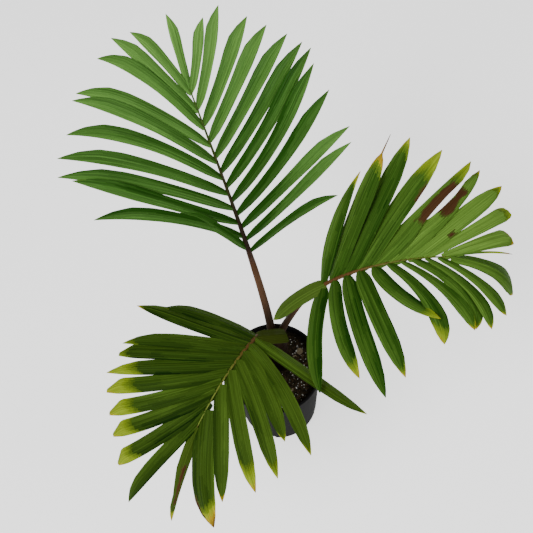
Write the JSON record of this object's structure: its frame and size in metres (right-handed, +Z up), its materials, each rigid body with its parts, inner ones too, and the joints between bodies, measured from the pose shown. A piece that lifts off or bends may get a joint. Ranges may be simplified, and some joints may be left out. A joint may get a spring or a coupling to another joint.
{
  "type": "bottle palm in a pot",
  "caption": "Young potted palm: a short tapering stem with arching feather fronds of strap leaflets, standing in a round nursery pot.",
  "frame": {"origin": "centre of the pot's flat underside", "axes": "+Z up along the pot's axis, +Y away from the viewer of the picture, +X to the right"},
  "size_m": [0.5525, 0.5116, 0.7328],
  "materials": {
    "pot_plastic": "matt moulded black plastic",
    "potting_mix": "loose dark mix with white grains",
    "stem_sheath": "satin, ringed brown sheath",
    "petiole_skin": "satin reddish brown",
    "leaf_back": "satin green leaflet",
    "leaf_right": "satin green leaflet with dried tips",
    "leaf_front": "satin dark green leaflet with yellowed tips"
  },
  "bodies": {
    "root": {"pot": "pot_plastic", "soil": "potting_mix", "stem": "stem_sheath", "petiole_back": "petiole_skin", "frond_back": "leaf_back", "petiole_right": "petiole_skin", "frond_right": "leaf_right", "petiole_front": "petiole_skin", "frond_front": "leaf_front"}
  },
  "joints": []
}
